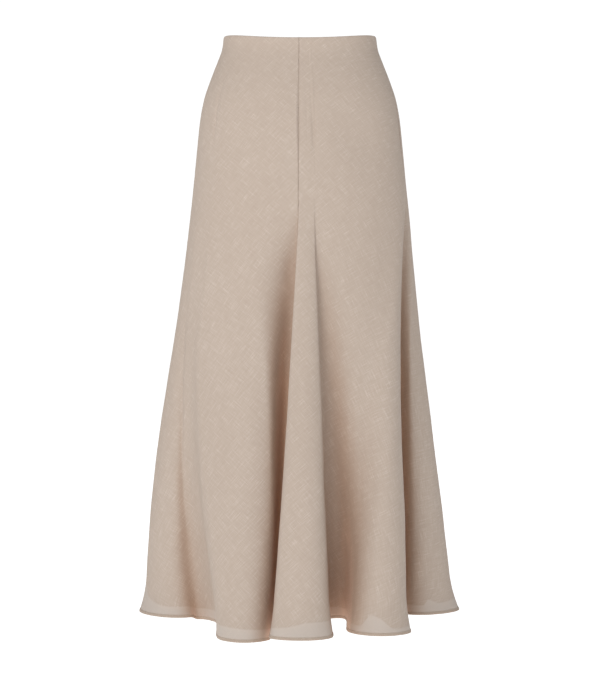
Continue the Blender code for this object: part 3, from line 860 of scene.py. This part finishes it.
def weave_linen(name):
    material, wire = new_material(name)
    cut = wire.make("ShaderNodeUVMap", {"uv_map": "cut"})
    x = wire.make("ShaderNodeSeparateXYZ", None, {0: cut})
    y = x.beside(1)
    warp, weft = (x + y) * BIAS, (x - y) * BIAS

    slub_warp = noise_along(wire, warp, weft, *SLUB)
    slub_weft = noise_along(wire, weft, warp, *SLUB)
    broad_warp = noise_along(wire, warp, weft, *BROAD_SLUB)
    broad_weft = noise_along(wire, weft, warp, *BROAD_SLUB)
    patches = noise_along(wire, x, y, *PATCH, 2.0)
    over_under = (warp * (math.pi / THREAD)).sine() * (weft * (math.pi / THREAD)).sine()

    light = (slub_warp + slub_weft) * 0.9 + (broad_warp + broad_weft) * 0.5 + patches * 0.45
    light = light + over_under * 0.10
    tone = (light - 1.62) * 0.52 + 0.5
    thick = slub_warp.share(0.66, 0.80) + slub_weft.share(0.68, 0.82)

    edges = wire.make("ShaderNodeAttribute", {"attribute_name": "edges"}, output=1)
    from_seam = wire.make("ShaderNodeSeparateXYZ", None, {0: edges})
    from_hem, round_hem = from_seam.beside(1), from_seam.beside(2)
    bare = wire.make("ShaderNodeAttribute", {"attribute_name": "below_lining"}, output=2)
    single = bare.share(-0.0015, 0.0015) * from_hem.share(HEM_WIDTH - 0.0004, HEM_WIDTH + 0.0006)
    hem = 1 - from_hem.share(HEM_WIDTH - 0.0006, HEM_WIDTH + 0.0006)
    seam = 1 - from_seam.share(0.0002, 0.0010)

    stitch_line = 1 - ((from_hem - STITCH_ABOVE_HEM).size()).share(0.0001, 0.0003)
    stitch_run = (round_hem * (2 * math.pi / STITCH_LENGTH)).sine().share(-0.35, -0.05)
    stitch = stitch_line * stitch_run

    colour = blend_colours(wire, tone, LINEN_DARK, LINEN)
    colour = blend_colours(wire, (tone - 0.5).share(0.0, 0.5) * 0.55, colour, LINEN_PALE)
    colour = blend_colours(wire, thick * 0.35, colour, LINEN_PALE)
    # painted light: the bare hem band is painted paler, for the light that comes through it
    colour = blend_colours(wire, single * 0.75, colour, LINEN_PAINTED_BACKLIGHT)
    view = wire.make("ShaderNodeAttribute", {"attribute_name": "open"}, output=2)
    closed, deep = 1 - view.share(0.25, 1.0), 1 - view.share(0.0, 0.38)
    # painted shade: closed folds are painted browner by how little of the room they see
    colour = blend_colours(wire, closed * PAINTED_SHADE_SHARE, colour, LINEN_PAINTED_FOLD_SHADE, "MULTIPLY")
    # painted light: the deepest places are painted lighter, for the light between the fold's sides
    colour = blend_colours(wire, deep, colour, LINEN_PAINTED_FOLD_LIGHT, "MULTIPLY")
    colour = blend_colours(wire, hem * 0.38, colour, HEM_ROLL)
    colour = blend_colours(wire, seam * 0.15, colour, SEAM_LINE)
    colour = blend_colours(wire, stitch * 0.5, colour, STITCH_YARN)

    height = over_under * 0.5 + (slub_warp + slub_weft) * 1.6 + thick * 0.5 - stitch * 0.8
    bump = wire.make(
        "ShaderNodeBump", None, {"Height": height, "Strength": 0.45, "Distance": 0.00022}
    )
    cloth_shader = wire.make(
        "ShaderNodeBsdfPrincipled",
        None,
        {
            "Base Color": colour,
            "Roughness": 0.86 - thick * 0.08,
            "Specular IOR Level": 0.22,
            "Sheen Weight": 0.12,
            "Sheen Roughness": 0.55,
            "Sheen Tint": (0.95, 0.88, 0.80, 1),
            "Normal": bump,
        },
    )
    through = blend_colours(wire, 1.0, colour, LINEN_THROUGH, "MULTIPLY")
    light_through = wire.make(
        "ShaderNodeBsdfTranslucent", None, {"Color": through, "Normal": bump}
    )
    both = wire.make(
        "ShaderNodeMixShader", None, {0: 0.16 + single * 0.10, 1: cloth_shader, 2: light_through}
    )
    wire.make("ShaderNodeOutputMaterial", None, {"Surface": both})
    return material


linen = weave_linen("linen")
for piece in outer.values():
    piece.data.materials.append(linen)
print("linen on", len(outer), "panels")

# %% [markdown]
# The lining is a light, smooth cloth with fine straight threads and a slight sheen. Its hem
# is turned up once, a little more than 1 cm wide.

# %% Weave the lining
LINING_DARK = (0.55, 0.455, 0.372, 1)
LINING_PALE = (0.66, 0.565, 0.475, 1)
LINING_FOLD = (0.42, 0.33, 0.26, 1)
LINING_THROUGH = (0.75, 0.60, 0.48, 1)
LINING_TURNED = 0.012


def weave_lining(name):
    material, wire = new_material(name)
    cut = wire.make("ShaderNodeUVMap", {"uv_map": "cut"})
    x = wire.make("ShaderNodeSeparateXYZ", None, {0: cut})
    y = x.beside(1)
    threads = noise_along(wire, y, x, 0.030, 0.0009) + noise_along(wire, x, y, 0.030, 0.0009)
    patches = noise_along(wire, x, y, 0.12, 0.20, 2.0)
    tone = (threads * 0.5 + patches * 0.5).share(0.35, 1.1)
    below = wire.make("ShaderNodeAttribute", {"attribute_name": "below_lining"}, output=2)
    hem = (below + LINING_TURNED).share(-0.0005, 0.0005)
    line = 1 - (below + LINING_TURNED).size().share(0.0003, 0.0009)
    colour = blend_colours(wire, tone, LINING_DARK, LINING_PALE)
    colour = blend_colours(wire, hem * 0.25 + line * 0.4, colour, LINING_FOLD)
    bump = wire.make(
        "ShaderNodeBump", None, {"Height": threads, "Strength": 0.25, "Distance": 0.0001}
    )
    satin = wire.make(
        "ShaderNodeBsdfPrincipled",
        None,
        {
            "Base Color": colour,
            "Roughness": 0.52 + tone * 0.08,
            "Specular IOR Level": 0.35,
            "Sheen Weight": 0.15,
            "Normal": bump,
        },
    )
    through = blend_colours(wire, 1.0, colour, LINING_THROUGH, "MULTIPLY")
    light_through = wire.make("ShaderNodeBsdfTranslucent", None, {"Color": through})
    both = wire.make("ShaderNodeMixShader", None, {0: 0.2, 1: satin, 2: light_through})
    wire.make("ShaderNodeOutputMaterial", None, {"Surface": both})
    return material


lining = weave_lining("lining")
for name in ("front_lining_cloth", "back_lining_cloth"):
    bpy.data.objects[name].data.materials.append(lining)
print("lining cloth woven")

# %% [markdown]
# The concealed zip shows only its slider and the small pull tab, dyed to match the cloth.
# Their solids already have the right shape, so they stay and only get a finish: a satin
# dyed metal with fine brushed lines and worn, brighter spots.

# %% Finish the zip's slider and pull tab
DYED_DARK = (0.50, 0.41, 0.33, 1)
DYED_PALE = (0.62, 0.53, 0.44, 1)
WORN_METAL = (0.74, 0.68, 0.60, 1)
BRUSH_MARK = (0.006, 0.00012)


def dyed_metal(name):
    material, wire = new_material(name)
    place = wire.make("ShaderNodeTexCoord", output=3)
    x = wire.make("ShaderNodeSeparateXYZ", None, {0: place})
    brushed = noise_along(wire, x.beside(2), x, *BRUSH_MARK, 2.0)
    worn = wire.make(
        "ShaderNodeTexNoise", None, {"Vector": place, "Scale": 420.0, "Detail": 3.0}
    ).share(0.52, 0.68)
    colour = blend_colours(wire, brushed, DYED_DARK, DYED_PALE)
    colour = blend_colours(wire, worn * 0.45, colour, WORN_METAL)
    bump = wire.make(
        "ShaderNodeBump", None, {"Height": brushed, "Strength": 0.2, "Distance": 0.00005}
    )
    metal = wire.make(
        "ShaderNodeBsdfPrincipled",
        None,
        {
            "Base Color": colour,
            "Metallic": 0.75 + worn * 0.2,
            "Roughness": 0.42 - worn * 0.12 + brushed * 0.06,
            "Normal": bump,
        },
    )
    wire.make("ShaderNodeOutputMaterial", None, {"Surface": metal})
    return material


zip_metal = dyed_metal("zip_metal")
for name in ("zip_slider", "zip_pull"):
    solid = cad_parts[name]
    solid.data.materials.clear()
    solid.data.materials.append(zip_metal)
print("zip finished")

# %% [markdown]
# The studio is white all round. The skirt hangs free as in the photo, so the floor lies well
# below it. The key light is one large soft box, a little to the left of the camera, which
# leaves the right side somewhat darker. The white room and a weak second box on the right
# fill the shadows. What the camera sees of the room is a touch brighter than white, so that
# the picture's ground is pure white.

# %% Light the studio
WHITE_ROOM = 0.50
KEY_WATTS = 56.0
FILL_WATTS = 2.5
SEEN_ROOM = 1.05
BOX_SIZE = 2.0


def soft_box(name, place, target, size, watts, colour):
    data = bpy.data.lights.new(name, "AREA")
    data.shape = "DISK"
    data.size = size
    data.energy = watts
    data.color = colour
    box = bpy.data.objects.new(name, data)
    box.location = place
    away = Vector(place) - Vector(target)
    box.rotation_euler = away.to_track_quat("Z", "Y").to_euler()
    bpy.context.scene.collection.objects.link(box)
    return box


soft_box("key", (-1.12, -2.91, 0.6), (0, 0, -0.45), BOX_SIZE, KEY_WATTS, (1.0, 0.985, 0.965))
soft_box("fill", (2.4, -2.2, 0.1), (0, 0, -0.5), BOX_SIZE, FILL_WATTS, (1.0, 0.98, 0.96))

world = bpy.data.worlds.new("studio")
bpy.context.scene.world = world
world.use_nodes = True
world.node_tree.nodes.clear()
air = Wire(world.node_tree)
seen = air.make("ShaderNodeLightPath")
strength = WHITE_ROOM + seen * (SEEN_ROOM - WHITE_ROOM)
room = air.make("ShaderNodeBackground", None, {"Color": (1, 1, 1, 1), "Strength": strength})
air.make("ShaderNodeOutputWorld", None, {"Surface": room})
bpy.context.scene.view_settings.view_transform = "Standard"
print("lights on")

# %% [markdown]
# The floor is a large pale sheet. It glows, so that it stays white to the horizon.

# %% Lay the floor
FLOOR_BELOW = -1.75
FLOOR_HALF = 25.0
FLOOR_GLOW = 0.75

bm = bmesh.new()
bmesh.ops.create_grid(bm, x_segments=4, y_segments=4, size=FLOOR_HALF)
bmesh.ops.translate(bm, verts=bm.verts, vec=(0, 0, FLOOR_BELOW))
floor_mesh = bpy.data.meshes.new("floor")
bm.to_mesh(floor_mesh)
bm.free()
floor = bpy.data.objects.new("floor", floor_mesh)
bpy.context.scene.collection.objects.link(floor)
paper, wire = new_material("paper")
place = wire.make("ShaderNodeTexCoord", output=3)
spots = wire.make("ShaderNodeTexNoise", None, {"Vector": place, "Scale": 3.0})
pale = blend_colours(wire, spots, (0.86, 0.86, 0.86, 1), (0.90, 0.90, 0.90, 1))
sheet = wire.make(
    "ShaderNodeBsdfPrincipled",
    None,
    {
        "Base Color": pale,
        "Roughness": 0.9,
        "Specular IOR Level": 0.1,
        "Emission Color": (1, 1, 1, 1),
        "Emission Strength": FLOOR_GLOW,
    },
)
wire.make("ShaderNodeOutputMaterial", None, {"Surface": sheet})
floor_mesh.materials.append(paper)
print("floor at", FLOOR_BELOW, "m")
